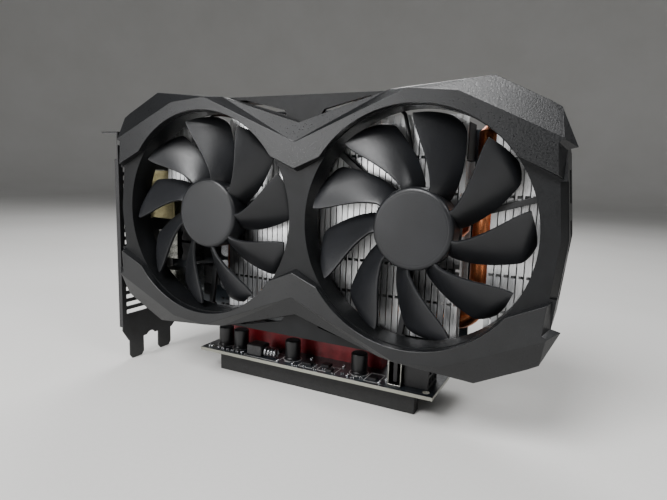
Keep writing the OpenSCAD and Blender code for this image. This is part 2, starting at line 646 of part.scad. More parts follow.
module fan_lead_right() color("#121214") card() lead(right_route);

// ---------------------------------------------------------------- riser

module riser_outline() difference() {
    translate([riser_left, riser_y]) square([riser_l, riser_w]);
    for (p = riser_holes()) translate(p) circle(hole_r);
}
function riser_holes() = [for (x = [hole_inset, riser_l - hole_inset], y = [hole_inset, riser_w - hole_inset])
    [riser_left + x, riser_y + y]];

module riser_board() color("#1b1e22") card()
    translate([0, 0, riser_top - riser_t]) linear_extrude(riser_t) riser_outline();

module on_riser(x, y) translate([x, y, riser_top]) children();

module riser_slot() color("#9c1420") card() difference() {
    box(slot_left, slot_left + slot_l, slot_y - slot_w / 2, slot_y + slot_w / 2,
        riser_top, riser_top + slot_h);
    // Groove for the edge tab, split by the key
    for (g = [[tab_left - 0.4, tab_left + tab_key + 0.3],
              [tab_left + tab_key + key_w - 0.3, tab_left + tab_l + 0.4]])
        box(g[0], g[1], slot_y - 1.2, slot_y + 1.2, riser_top + 2.4, riser_top + slot_h + 1);
    for (s = [-1, 1], i = [0:40])
        box(tab_left + 0.9 + i * 2, tab_left + 1.9 + i * 2, slot_y + s * 2.9 - 0.5,
            slot_y + s * 2.9 + 0.5, riser_top + 7.5, riser_top + slot_h + 1);
}
module riser_slot_contacts() color("#caa64a") card() for (s = [-1, 1], i = [0:40])
    box(tab_left + 1.0 + i * 2, tab_left + 1.8 + i * 2, slot_y + s * 2.9 - 0.3,
        slot_y + s * 2.9 + 0.3, riser_top + 7.5, riser_top + slot_h - 0.6);

riser_cap_spots = [[-56.4, 25.4], [-46.7, 25.1], [-15.2, 24.5], [20.4, 24.8], [-54, 51.5], [-43, 51.5]];
module riser_capacitors() color("#121214") card() for (p = riser_cap_spots) on_riser(p[0], p[1])
    rotate_extrude() polygon([[0, 0], [3.8, 0], [3.8, 0.9], [3.5, 1.3], [3.8, 1.7], [3.8, 9.3],
        [3.4, 9.7], [0, 9.7]]);

module riser_coil() color("#2a2a2c") card() on_riser(-38.1, 17.8) cube([8.6, 8, 5.4]);
module riser_chips() color("#1e1f22") card() {
    for (p = [[-5, 22, 5, 4], [4, 24, 4, 4], [8, 19, 3, 3], [-26, 27, 3, 5], [29, 20.5, 4, 3]])
        on_riser(p[0] - p[2] / 2, p[1] - p[3] / 2) cube([p[2], p[3], 1.2]);
    for (p = [[-8.6, 16.4], [-4.6, 17.8], [-1.6, 23], [1.6, 16.8], [4.8, 19.6], [8, 23], [11.2, 16.8],
              [14.4, 19.6], [20.8, 16.8], [24, 19], [27.2, 23], [-56, 18], [-53, 18], [-50, 18],
              [-47, 18], [-44, 18]])
        on_riser(p[0] - 0.7, p[1] - 0.4) cube([1.4, 0.8, 0.6]);
}

// Metal shell on its edge with a tongue inside, opening to the board's near side
usb_x = 36.6;
usb_front = 18.6;
module usb_socket() color("#c4c6c8") card() on_riser(usb_x, usb_front) difference() {
    cube([6.2, 16, 12]);
    translate([0.5, -1, 0.5]) cube([5.2, 16.2, 11]);
}
module usb_insert() color("#161616") card() on_riser(usb_x, usb_front) {
    translate([0.5, 11.2, 0.5]) cube([5.2, 4, 11]);
    translate([2.2, 1.2, 1.5]) cube([1.8, 10, 9]);
}
// Six-pin power socket that opens to the board's right end
module riser_power_socket() color("#111113") card() on_riser(43.2, 21.2) difference() {
    cube([11, 14, 11]);
    for (i = [0:2], j = [0:1]) translate([2, 1.2 + i * 4, 1.4 + j * 4.6]) cube([13, 3.6, 3.6]);
}
// Two rubber strips under the board
foot_inset = 5;
foot_w = 6;
module riser_feet() color("#17171a") card() for (y = [foot_inset, riser_w - foot_inset - foot_w])
    translate([riser_left + 9, riser_y + y, tip_z])
        cube([riser_l - 18, foot_w, riser_top - riser_t - tip_z]);

fan_shroud();
upper_armour();
lower_armour();
bracket();
bracket_screws();
dvi_shell();
dvi_insert();
dvi_posts();
hdmi_shell();
hdmi_insert();
displayport_shell();
displayport_insert();
circuit_board();
edge_contacts();
gpu_package();
gpu_die();
memory_chips();
power_chokes();
power_transistors();
board_capacitors();
board_chips();
power_socket();
fan_header();
heatsink_base();
fin_stack_centre();
fin_stack_right();
fin_stack_left();
heat_pipe_right();
heat_pipe_left();
heat_pipe_centre();
thermal_pads();
retention_brace();
retention_screws();
fan_frame_left();
fan_frame_right();
fan_screws();
bearing_left();
bearing_right();
stator_left();
stator_right();
coils_left();
coils_right();
rotor_left();
rotor_right();
shaft_left();
shaft_right();
magnet_ring_left();
magnet_ring_right();
fan_lead_left();
fan_lead_right();
riser_board();
riser_slot();
riser_slot_contacts();
riser_capacitors();
riser_coil();
riser_chips();
usb_socket();
usb_insert();
riser_power_socket();
riser_feet();
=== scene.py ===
import json
import math

import bmesh
import bpy
from bpy.props import FloatProperty, IntProperty, PointerProperty
from bpy.types import Operator, Panel, PropertyGroup
from mathutils import Matrix, Vector


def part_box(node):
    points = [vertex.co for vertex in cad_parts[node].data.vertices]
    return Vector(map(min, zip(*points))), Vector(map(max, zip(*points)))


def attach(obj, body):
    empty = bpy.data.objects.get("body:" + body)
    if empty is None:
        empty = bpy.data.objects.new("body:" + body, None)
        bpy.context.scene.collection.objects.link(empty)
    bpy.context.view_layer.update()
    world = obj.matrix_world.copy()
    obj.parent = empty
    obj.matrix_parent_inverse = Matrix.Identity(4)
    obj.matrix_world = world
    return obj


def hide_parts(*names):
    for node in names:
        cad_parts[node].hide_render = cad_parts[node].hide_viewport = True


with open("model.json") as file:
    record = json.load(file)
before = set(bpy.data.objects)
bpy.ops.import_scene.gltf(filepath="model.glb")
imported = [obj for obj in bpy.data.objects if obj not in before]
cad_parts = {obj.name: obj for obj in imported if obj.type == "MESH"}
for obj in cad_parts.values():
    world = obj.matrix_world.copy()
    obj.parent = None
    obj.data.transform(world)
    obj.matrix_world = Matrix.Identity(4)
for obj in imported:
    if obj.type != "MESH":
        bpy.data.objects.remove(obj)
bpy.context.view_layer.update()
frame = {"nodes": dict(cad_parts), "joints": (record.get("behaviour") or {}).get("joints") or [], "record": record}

bl_info = {
    "name": "Graphics Card Looks",
    "version": (1, 0, 0),
    "blender": (4, 5, 0),
    "location": "View3D > Sidebar > Graphics Card",
    "description": "Builds the detailed pieces and finishes of a twin-fan graphics card on its riser board",
    "category": "Object",
}

MM = 0.001

# ------------------------------------------------------------------ places


def joint_place(name):
    return Vector(next(j["pos_m"] for j in frame["joints"] if j["name"] == name))


LEFT_FAN = joint_place("fan_left_spin")
RIGHT_FAN = joint_place("fan_right_spin")
MIDDLE = (LEFT_FAN + RIGHT_FAN) / 2
FACE_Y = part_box("fan_shroud")[0].y


def in_card(x, y, z):
    """A point in metres from millimetres right of, behind and above the middle of the fan face."""
    return Vector((MIDDLE.x + x * MM, FACE_Y + y * MM, MIDDLE.z + z * MM))


# ------------------------------------------------------------------ materials


def linear(hex_colour):
    """An sRGB hex colour as linear RGBA."""
    parts = [int(hex_colour.lstrip("#")[i:i + 2], 16) / 255 for i in (0, 2, 4)]
    return tuple(c / 12.92 if c <= 0.04045 else ((c + 0.055) / 1.055) ** 2.4 for c in parts) + (1.0,)


def add(tree, kind, settings=None, links=None):
    """Adds one node with its settings and incoming links."""
    node = tree.nodes.new(kind)
    for key, value in (settings or {}).items():
        if isinstance(key, str) and hasattr(node, key):
            setattr(node, key, value)
        else:
            node.inputs[key].default_value = value
    for key, socket in (links or {}).items():
        tree.links.new(socket, node.inputs[key])
    return node


def finish(name, low, high, rough, patch=6.0, grain=0.3, bump=0.02, metallic=0.0,
           stretch=(1, 1, 1), specular=0.5, coat=0.0):
    """A finish that varies between two colours over patches, with a fine grain in gloss and height.

    patch and grain are sizes in millimetres, bump is a height in millimetres, and stretch below 1
    draws the pattern out along an axis."""
    mat = bpy.data.materials.new(name)
    mat.use_nodes = True
    tree = mat.node_tree
    tree.nodes.clear()
    out = add(tree, "ShaderNodeOutputMaterial")
    place = add(tree, "ShaderNodeTexCoord").outputs["Object"]
    squeezed = add(tree, "ShaderNodeMapping", {"Scale": stretch}, {"Vector": place}).outputs["Vector"]
    cloud = add(tree, "ShaderNodeTexNoise", {"Scale": 1 / (patch * MM), "Detail": 3.0, "Roughness": 0.6},
                {"Vector": squeezed}).outputs["Fac"]
    speck = add(tree, "ShaderNodeTexNoise", {"Scale": 1 / (grain * MM), "Detail": 2.0, "Roughness": 0.7},
                {"Vector": squeezed}).outputs["Fac"]
    both = add(tree, "ShaderNodeMath", {"operation": "MULTIPLY_ADD", 1: 0.45}, {0: speck, 2: cloud})
    tone = add(tree, "ShaderNodeMapRange", {"From Min": 0.5, "From Max": 0.95}, {"Value": both.outputs[0]})
    colour = add(tree, "ShaderNodeMix", {"data_type": "RGBA", 6: linear(low), 7: linear(high)},
                 {0: tone.outputs["Result"]}).outputs[2]
    gloss = add(tree, "ShaderNodeMapRange", {"From Min": 0.3, "From Max": 0.7, "To Min": rough[0],
                                             "To Max": rough[1]}, {"Value": speck})
    relief = add(tree, "ShaderNodeBump", {"Strength": 1.0, "Distance": bump * MM}, {"Height": speck})
    shader = add(tree, "ShaderNodeBsdfPrincipled",
                 {"Metallic": metallic, "Specular IOR Level": specular, "Coat Weight": coat,
                  "Coat Roughness": 0.2},
                 {"Base Color": colour, "Roughness": gloss.outputs["Result"],
                  "Normal": relief.outputs["Normal"]})
    tree.links.new(shader.outputs["BSDF"], out.inputs["Surface"])
    return mat


def board_mask(name, face, rim):
    """Glass-epoxy board: dark solder mask with buried tracks, and a pale sawn rim."""
    mat = finish(name, face, "#22262b", (0.25, 0.4), patch=3.0, grain=0.4, bump=0.006, coat=0.3)
    tree = mat.node_tree
    shader = next(n for n in tree.nodes if n.type == "BSDF_PRINCIPLED")
    colour = shader.inputs["Base Color"].links[0].from_socket
    place = add(tree, "ShaderNodeTexCoord")
    # Tracks 0.6 mm wide, drawn wider than the real ones so that they show
    tracks = add(tree, "ShaderNodeTexBrick",
                 {"Scale": 1 / (14 * MM), "Mortar Size": 0.035, "Brick Width": 0.9, "Row Height": 0.16,
                  "Color1": (0, 0, 0, 1), "Color2": (0, 0, 0, 1), "Mortar": (1, 1, 1, 1)},
                 {"Vector": place.outputs["Object"]})
    with_tracks = add(tree, "ShaderNodeMix", {"data_type": "RGBA", 7: linear("#2c3238")},
                      {0: tracks.outputs["Color"], 6: colour}).outputs[2]
    up = add(tree, "ShaderNodeSeparateXYZ", {}, {"Vector": place.outputs["Normal"]}).outputs
    across = "Z" if name.startswith("riser") else "Y"
    lean = add(tree, "ShaderNodeMath", {"operation": "ABSOLUTE"}, {0: up[across]})
    side = add(tree, "ShaderNodeMath", {"operation": "LESS_THAN", 1: 0.5}, {0: lean.outputs[0]})
    sawn = add(tree, "ShaderNodeMix", {"data_type": "RGBA", 7: linear(rim)},
               {0: side.outputs[0], 6: with_tracks}).outputs[2]
    tree.links.new(sawn, shader.inputs["Base Color"])
    return mat


# Name: (colours, roughness and the rest), each named for the real finish.
FINISHES = {
    # Moulded ABS with a spark-eroded grain: near black, its grain breaks highlights into specks
    "moulded_abs": dict(low="#08090a", high="#111214", rough=(0.36, 0.56), patch=9, grain=0.5, bump=0.03,
                        specular=0.25),
    # The same ABS from another tool: its coarser grain and gloss catch light on the slanted faces
    "armour_abs": dict(low="#08090b", high="#121315", rough=(0.26, 0.46), patch=12, grain=0.6, bump=0.06,
                       specular=0.45),
    # Satin PBT: blades with a soft broad highlight broken into fine sparkle
    "satin_pbt": dict(low="#121315", high="#1b1c1f", rough=(0.3, 0.46), patch=20, grain=0.6, bump=0.035,
                      specular=0.4),
    # Plain black PBT of the fan frames
    "frame_pbt": dict(low="#0c0c0d", high="#17181a", rough=(0.4, 0.6), patch=5, grain=0.4, bump=0.01),
    # Powder coat on sheet steel: fine orange peel
    "powder_coat": dict(low="#141415", high="#222224", rough=(0.38, 0.55), patch=6, grain=0.6, bump=0.02),
    # Zinc plated steel: bright, faintly blue
    "zinc_plate": dict(low="#b9bcc0", high="#e2e4e6", rough=(0.2, 0.35), patch=2, grain=0.2, bump=0.003,
                       metallic=1.0),
    # Black oxide on screws
    "black_oxide": dict(low="#111112", high="#242425", rough=(0.3, 0.45), patch=2, grain=0.2, bump=0.004,
                        metallic=0.6),
    # Yellow chromate shell
    "chromate_brass": dict(low="#8f8661", high="#bdb48d", rough=(0.26, 0.44), patch=4, grain=0.3, bump=0.004,
                           metallic=1.0),
    # Nickel plated shell
    "nickel_plate": dict(low="#96968f", high="#bcbcb5", rough=(0.2, 0.36), patch=5, grain=0.3, bump=0.003,
                         metallic=1.0),
    # Glass filled nylon: dull black
    "black_nylon": dict(low="#0d0d0e", high="#19191b", rough=(0.4, 0.6), patch=4, grain=0.3, bump=0.008),
    # Unpigmented nylon: warm off-white, slightly waxy
    "ivory_nylon": dict(low="#cfc8b6", high="#e4dfd0", rough=(0.4, 0.55), patch=4, grain=0.3, bump=0.006),
    # Hard gold over nickel: warm bright edge contacts
    "hard_gold": dict(low="#c99a3e", high="#e3bd68", rough=(0.2, 0.3), patch=3, grain=0.2, bump=0.002,
                      metallic=1.0),
    # Chip package laminate: deep green under a thin lacquer
    "green_laminate": dict(low="#0f3320", high="#1b4a30", rough=(0.3, 0.45), patch=2, grain=0.2, bump=0.004),
    # Bare silicon: a dark grey mirror
    "polished_silicon": dict(low="#5d646b", high="#7c858d", rough=(0.08, 0.14), patch=6, grain=0.3,
                             bump=0.001, metallic=0.7),
    # Moulded epoxy of the chips
    "chip_epoxy": dict(low="#0e0e0f", high="#1d1d1f", rough=(0.45, 0.65), patch=2, grain=0.15, bump=0.006),
    # Pressed iron powder: dull, slightly mottled
    "iron_powder": dict(low="#1c1c1d", high="#383839", rough=(0.45, 0.65), patch=1.2, grain=0.2, bump=0.02),
    # Drawn aluminium can
    "drawn_aluminium": dict(low="#a9abae", high="#d0d2d4", rough=(0.22, 0.38), patch=5, grain=0.2,
                            bump=0.003, metallic=1.0),
    # Rolled aluminium sheet: streaks along the fin
    "rolled_aluminium": dict(low="#cdcfd1", high="#f5f5f5", rough=(0.34, 0.5), patch=5, grain=0.5,
                             bump=0.012, metallic=1.0, stretch=(1, 1, 0.08)),
    # Milled aluminium block
    "milled_aluminium": dict(low="#8e9194", high="#bcbec0", rough=(0.25, 0.45), patch=4, grain=0.4,
                             bump=0.01, metallic=1.0, stretch=(0.1, 1, 1)),
    # Drawn copper, a little dulled
    "drawn_copper": dict(low="#9a5230", high="#cf8358", rough=(0.25, 0.42), patch=7, grain=0.4, bump=0.004,
                         metallic=1.0),
    # Enamelled copper wire: deep red-brown with glossy ridges
    "enamelled_wire": dict(low="#6e2c14", high="#a64c24", rough=(0.2, 0.3), patch=1, grain=0.2, bump=0.01,
                           metallic=0.8),
    # Filled silicone: dull blue-grey putty
    "silicone_pad": dict(low="#66727c", high="#808c96", rough=(0.7, 0.85), patch=2, grain=0.3, bump=0.02),
    # Stamped spring steel: mid grey with rolled streaks
    "spring_steel": dict(low="#7e8082", high="#a8aaac", rough=(0.3, 0.45), patch=5, grain=0.4, bump=0.006,
                         metallic=1.0),
    # Stacked laminations: fine dark lines across the motor
    "stacked_steel": dict(low="#4a4d50", high="#6c6f72", rough=(0.4, 0.55), patch=2, grain=0.35, bump=0.03,
                          metallic=0.9, stretch=(0.1, 1, 0.1)),
    # Sintered bronze: porous, dull yellow brown
    "sintered_bronze": dict(low="#7d6030", high="#a5834a", rough=(0.4, 0.55), patch=1, grain=0.15,
                            bump=0.01, metallic=1.0),
    # Ground steel: a near mirror
    "ground_steel": dict(low="#b4b6b8", high="#dadcde", rough=(0.12, 0.2), patch=3, grain=0.2, bump=0.001,
                         metallic=1.0),
    # Bonded ferrite: matt, nearly black
    "bonded_ferrite": dict(low="#1c1917", high="#2d2926", rough=(0.6, 0.75), patch=2, grain=0.2, bump=0.02),
    # Soft PVC on the leads and the capacitor sleeves
    "soft_pvc": dict(low="#0c0c0d", high="#1a1a1c", rough=(0.3, 0.42), patch=4, grain=0.5, bump=0.006),
    # Deep red glass filled nylon of the slot
    "red_nylon": dict(low="#5c0810", high="#8c1220", rough=(0.32, 0.5), patch=5, grain=0.3, bump=0.008),
    # Moulded rubber of the feet under the riser board: soft black without a highlight, in long strips that stand
    # in for the shade under the board (partly real feet, partly painted shade)
    "rubber_painted_shade": dict(low="#0b0b0b", high="#171717", rough=(0.6, 0.8), patch=3, grain=0.4, bump=0.02),
    # Silk-screen ink: flat off-white
    "white_ink": dict(low="#b9bab8", high="#dcdcd9", rough=(0.5, 0.65), patch=1, grain=0.15, bump=0.004),
    # Tinned pads and solder fillets: small bright points
    "bright_solder": dict(low="#a4a7aa", high="#d6d8da", rough=(0.18, 0.32), patch=1, grain=0.2, bump=0.004,
                          metallic=1.0),
}

_made = {}


def material(name):
    """The named finish, made once."""
    if name not in _made:
        if name == "card_mask":
            _made[name] = board_mask("card_mask", "#0e1013", "#6f6a52")
        elif name == "riser_mask":
            _made[name] = board_mask("riser_mask", "#111419", "#85857a")
        else:
            _made[name] = finish(name, **FINISHES[name])
    return _made[name]


# ------------------------------------------------------------------ mesh helpers


def to_object(bm, name, finish_name, body, angle=35):
    """Turns a bmesh into a finished object that rides a body, smooth but for its sharp edges."""
    mesh = bpy.data.meshes.new(name)
    bm.to_mesh(mesh)
    bm.free()
    obj = bpy.data.objects.new(name, mesh)
    bpy.context.scene.collection.objects.link(obj)
    mesh.shade_smooth()
    mesh.set_sharp_from_angle(angle=math.radians(angle))
    mesh.materials.append(material(finish_name))
    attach(obj, body)
    return obj


def level_normals(obj):
    """Keeps flat faces flat-shaded beside their rounded edges."""
    obj.modifiers.new("level_normals", "WEIGHTED_NORMAL").keep_sharp = True


def node_body(node):
    """The body that a CAD node belongs to."""
    return next(b for b, nodes in frame["record"]["behaviour"]["bodies"].items() if node in nodes)


def dressed(node, finish_name, bevel=0.15, angle=30):
    """A copy of a CAD node with its triangles merged and its edges rounded by bevel millimetres."""
    bm = bmesh.new()
    bm.from_mesh(frame["nodes"][node].data)
    bmesh.ops.remove_doubles(bm, verts=bm.verts, dist=2e-6)
    bmesh.ops.dissolve_limit(bm, angle_limit=math.radians(0.6), verts=bm.verts, edges=bm.edges)
    obj = to_object(bm, node + "_finished", finish_name, node_body(node))
    if bevel:
        rounding = obj.modifiers.new("rounding", "BEVEL")
        rounding.width = bevel * MM
        rounding.segments = 2
        rounding.limit_method = "ANGLE"
        rounding.angle_limit = math.radians(angle)
        level_normals(obj)
    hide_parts(node)
    return obj


def paint(node, finish_name):
    """Gives a CAD node that stays its finish."""
    obj = frame["nodes"][node]
    obj.data.materials.clear()
    obj.data.materials.append(material(finish_name))


def lathe(points, centre, steps=96, axis=(0, 1, 0)):
    """A bmesh turned from (radius, distance along the axis) points, in millimetres."""
    bm = bmesh.new()
    axis = Vector(axis)
    side = Vector((1, 0, 0)) if abs(axis.x) < 0.5 else Vector((0, 0, 1))
    verts = [bm.verts.new(centre + (side * r + axis * d) * MM) for r, d in points]
    edges = [bm.edges.new(pair) for pair in zip(verts, verts[1:])]
    bmesh.ops.spin(bm, geom=verts + edges, cent=centre, axis=axis, angle=2 * math.pi, steps=steps,
                   use_merge=True)
    bmesh.ops.remove_doubles(bm, verts=bm.verts, dist=1e-6)
    bmesh.ops.recalc_face_normals(bm, faces=bm.faces)
    return bm


def block(bm, low, high, bevel=0.0):
    """Adds a box between two corners to a bmesh, with rounded edges."""
    made = bmesh.ops.create_cube(bm, size=1.0)["verts"]
    size = Vector(high) - Vector(low)
    bmesh.ops.scale(bm, vec=size, verts=made)
    bmesh.ops.translate(bm, vec=(Vector(low) + Vector(high)) / 2, verts=made)
    if bevel:
        edges = list({e for v in made for e in v.link_edges})
        bmesh.ops.bevel(bm, geom=edges, offset=bevel * MM, segments=2, profile=0.5, affect="EDGES",
                        material=-1)


# ------------------------------------------------------------------ settings


class CardShroudSettings(PropertyGroup):
    """Edges of the shroud and its armour."""

    edge: FloatProperty(name="Edge rounding", description="Radius of the moulded edges, in millimetres",
                        default=0.45, min=0.1, max=0.8)


class CardRotorSettings(PropertyGroup):
    """Shape of the two rotors."""

    blades: IntProperty(name="Blades", description="Number of blades on each rotor", default=9, min=5,
                        max=13)
    tip: FloatProperty(name="Tip radius", description="Radius at the blade tips, in millimetres",
                       default=43.4)
    hub: FloatProperty(name="Hub radius", description="Radius of the hub, in millimetres", default=16.1)
    thickness: FloatProperty(name="Blade thickness", description="Thickness of a blade, in millimetres",
                             default=1.3)
    left_phase: FloatProperty(name="Left turn", default=106.7,
                              description="Turn of the left rotor's first blade, in degrees")
    right_phase: FloatProperty(name="Right turn", default=93.0,
                               description="Turn of the right rotor's first blade, in degrees")


class CardStageSettings(PropertyGroup):
    """Lights and camera."""

    lens: FloatProperty(name="Lens", description="Focal length of the camera, in millimetres", default=28.07)
    light: FloatProperty(name="Light", description="Strength of the main light, in watts", default=11.0,
                         unit="POWER")


# ------------------------------------------------------------------ pieces


class CARD_OT_shroud(Operator):
    """Rounds the edges of the shroud and its two armour plates"""

    bl_idname = "card.shroud"
    bl_label = "Shroud and armour"

    def execute(self, context):
        edge = context.scene.card_shroud.edge
        dressed("fan_shroud", "moulded_abs", edge)
        dressed("upper_armour", "armour_abs", edge, 18)
        dressed("lower_armour", "armour_abs", edge, 18)
        return {"FINISHED"}


# Blade shape, in millimetres and degrees
ROOT_R = 17
TIP_CORNER = 4
FRONT_DEPTH = 2.6
BLADE_DEPTH = 8.2
EDGE_ROUNDING = 0.32


def blade_edges(r, tip):
    """The front and rear edge angles of a blade at a radius, in degrees behind its front tip."""
    inward = max((tip - 0.4 - max(r, ROOT_R)) / (tip - 0.4 - ROOT_R), 0)
    corner = 9 * ((r - tip + TIP_CORNER) / TIP_CORNER) ** 2.2 if r > tip - TIP_CORNER else 0
    return -23 * inward ** 1.6, -25 - 22 * inward ** 1.15 + corner


def blade_sheet(bm, centre, settings, phase, thickness):
    """Adds one closed blade: a grid, closer towards the tip, bent to its curve and given thickness."""
    across, along = 10, 26
    grid = bmesh.ops.create_grid(bm, x_segments=along, y_segments=across, size=0.5)["verts"]
    root = settings.hub - 0.6
    for v in grid:
        u, w = v.co.y + 0.5, 1 - (0.5 - v.co.x) ** 1.8
        r = root + (settings.tip - 0.1 * thickness - root) * w
        front, rear = blade_edges(r, settings.tip)
        angle = math.radians(phase + front * (1 - u) + rear * u)
        depth = FRONT_DEPTH + BLADE_DEPTH * (0.55 * u + 0.45 * u * u)
        v.co = centre + Vector((r * math.cos(angle), depth, r * math.sin(angle))) * MM
    faces = list({f for v in grid for f in v.link_faces})
    bmesh.ops.recalc_face_normals(bm, faces=faces)
    bmesh.ops.solidify(bm, geom=faces, thickness=thickness * MM)


class CARD_OT_rotors(Operator):
    """Models each rotor: a rounded hub cup and swept, cambered blades"""

    bl_idname = "card.rotors"
    bl_label = "Rotors"

    def execute(self, context):
        settings = context.scene.card_rotor
        for side, place, phase in (("left", LEFT_FAN, settings.left_phase),
                                   ("right", RIGHT_FAN, settings.right_phase)):
            centre = Vector((place.x, FACE_Y, place.z))
            hub = settings.hub
            bm = lathe([(0, 1.2), (hub - 2.4, 1.2), (hub - 2.2, 1.32), (hub - 1.9, 1.32), (hub - 1.6, 1.25),
                        (hub - 0.9, 1.45), (hub - 0.35, 1.9), (hub - 0.05, 2.6), (hub, 3.4), (hub, 11.7),
                        (hub - 1.8, 11.7), (hub - 1.8, 3.0), (2.2, 3.0), (2.2, 4.4), (1.0, 4.4)], centre)
            blade = bmesh.new()
            blade_sheet(blade, centre, settings, phase, settings.thickness)
            bmesh.ops.remove_doubles(blade, verts=blade.verts, dist=1e-7)
            bmesh.ops.recalc_face_normals(blade, faces=blade.faces)
            rim = [e for e in blade.edges if e.calc_face_angle(0) > math.radians(50)]
            bmesh.ops.bevel(blade, geom=rim, offset=EDGE_ROUNDING * MM, segments=2, profile=0.5,
                            affect="EDGES", material=-1)
            bmesh.ops.spin(blade, geom=blade.verts[:] + blade.edges[:] + blade.faces[:], cent=centre,
                           axis=(0, 1, 0), angle=2 * math.pi, steps=settings.blades, use_duplicate=True)
            bmesh.ops.remove_doubles(blade, verts=blade.verts, dist=1e-6)
            spare = bpy.data.meshes.new("blades")
            blade.to_mesh(spare)
            blade.free()
            bm.from_mesh(spare)
            bpy.data.meshes.remove(spare)
            obj = to_object(bm, "rotor_" + side + "_finished", "satin_pbt", "fan_" + side, 40)
            level_normals(obj)
            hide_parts("rotor_" + side)
        return {"FINISHED"}


class CARD_OT_cooler(Operator):
    """Finishes the fins, the heat pipes and the base"""

    bl_idname = "card.cooler"
    bl_label = "Heatsink"

    def execute(self, context):
        for stack in ("fin_stack_centre", "fin_stack_right", "fin_stack_left"):
            paint(stack, "rolled_aluminium")
        for pipe in ("heat_pipe_right", "heat_pipe_left", "heat_pipe_centre"):
            dressed(pipe, "drawn_copper", 0)
        dressed("heatsink_base", "milled_aluminium", 0.2)
        dressed("thermal_pads", "silicone_pad", 0.2)
        dressed("retention_brace", "spring_steel", 0.15)
        dressed("retention_screws", "zinc_plate", 0.12)
        return {"FINISHED"}


class CARD_OT_fans(Operator):
    """Finishes the fan frames, motors, shafts and leads"""

    bl_idname = "card.fans"
    bl_label = "Fan motors and leads"

    def execute(self, context):
        for side in ("left", "right"):
            dressed("fan_frame_" + side, "frame_pbt", 0.25)
            dressed("bearing_" + side, "sintered_bronze", 0.1)
            dressed("stator_" + side, "stacked_steel", 0.08)
            dressed("coils_" + side, "enamelled_wire", 0.4)
            dressed("shaft_" + side, "ground_steel", 0.12)
            dressed("magnet_ring_" + side, "bonded_ferrite", 0.15)
            dressed("fan_lead_" + side, "soft_pvc", 0)
        dressed("fan_screws", "black_oxide", 0.1)
        return {"FINISHED"}


class CARD_OT_bracket(Operator):
    """Finishes the bracket, its screws and the display sockets"""

    bl_idname = "card.bracket"
    bl_label = "Bracket and sockets"

    def execute(self, context):
        dressed("bracket", "powder_coat", 0.18)
        dressed("bracket_screws", "black_oxide", 0.12)
        dressed("dvi_shell", "chromate_brass", 0.2)
        dressed("dvi_posts", "chromate_brass", 0.15)
        dressed("dvi_insert", "ivory_nylon", 0.15)
        for kind in ("hdmi", "displayport"):
            dressed(kind + "_shell", "nickel_plate", 0.12)
            dressed(kind + "_insert", "black_nylon", 0.1)
        return {"FINISHED"}


class CARD_OT_board(Operator):
    """Finishes the circuit board and everything soldered to it"""

    bl_idname = "card.board"
    bl_label = "Circuit board"

    def execute(self, context):
        dressed("circuit_board", "card_mask", 0.12)
        paint("edge_contacts", "hard_gold")
        dressed("gpu_package", "green_laminate", 0.1)
        dressed("gpu_die", "polished_silicon", 0.05)
        dressed("memory_chips", "chip_epoxy", 0.15)
        dressed("power_chokes", "iron_powder", 0.5)
        dressed("power_transistors", "chip_epoxy", 0.12)
        dressed("board_capacitors", "drawn_aluminium", 0.25)
        dressed("board_chips", "chip_epoxy", 0.08)
        dressed("power_socket", "black_nylon", 0.25)
        dressed("fan_header", "ivory_nylon", 0.15)
        return {"FINISHED"}


# Places on the riser board, in millimetres from the middle of the fan face
RISER_CAPACITORS = ((-56.4, 25.4), (-46.7, 25.1), (-15.2, 24.5), (20.4, 24.8), (-54, 51.5), (-43, 51.5))
CAPACITOR_R = 3.8
# Printed outlines: left, front, width and depth
PRINTED_BOXES = ((-39.2, 16.6, 19.4, 10.4), (-8.5, 17.6, 7.6, 6.2), (1.6, 17.6, 9.4, 7.0),
                 (25.6, 17.4, 6.6, 9.8))
LINE_W = 0.25
INK_T = 0.04
# Small two-ended parts of the CAD's riser_chips
SMALL_PARTS = ((-8.6, 16.4), (-4.6, 17.8), (-1.6, 23), (1.6, 16.8), (4.8, 19.6), (8, 23), (11.2, 16.8),
               (14.4, 19.6), (20.8, 16.8), (24, 19), (27.2, 23), (-56, 18), (-53, 18), (-50, 18), (-47, 18),
               (-44, 18))
# Further ones that stand across the board
CROSS_PARTS = ((-61.8, 18.6), (-60.2, 18.6), (-41.2, 18.4), (-19.6, 17.6), (-11.4, 18.2), (33.2, 18.2),
               (34.9, 22.6), (17.6, 18.4), (-31.4, 29.6), (-35.2, 29.6), (-6.5, 28.4), (11.6, 27.2))


def ring_print(bm, place, radius, width):
    """Adds a flat printed ring of the given inner radius and width in millimetres."""
    made = [v for r in (radius, radius + width)
            for v in bmesh.ops.create_circle(bm, segments=48, radius=r * MM)["verts"]]
    edges = list({e for v in made for e in v.link_edges})
    faces = bmesh.ops.bridge_loops(bm, edges=edges)["faces"]
    bmesh.ops.translate(bm, vec=place, verts=made)
    bmesh.ops.recalc_face_normals(bm, faces=faces)
    bmesh.ops.solidify(bm, geom=faces, thickness=0.03 * MM)


def wire_turn(bm, place, radius, wire):
    """Adds one turn of wire around the X axis."""
    made = bmesh.ops.create_circle(bm, segments=10, radius=wire * MM)["verts"]
    bmesh.ops.translate(bm, vec=place + Vector((0, radius * MM, 0)), verts=made)
    edges = list({e for v in made for e in v.link_edges})
    bmesh.ops.spin(bm, geom=made + edges, cent=place, axis=(1, 0, 0), angle=2 * math.pi, steps=28,
                   use_merge=True)


def on_riser(x, y, up=0.0):
    """A point in metres on the riser board's top, up millimetres above it."""
    place = in_card(x, y, 0)
    return Vector((place.x, place.y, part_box("riser_board")[1].z + up * MM))


def slab(bm, low, high, tall, bevel=0.0):
    """Adds a box that stands on the riser board between two plan corners."""
    block(bm, on_riser(*low), on_riser(*high, tall), bevel)


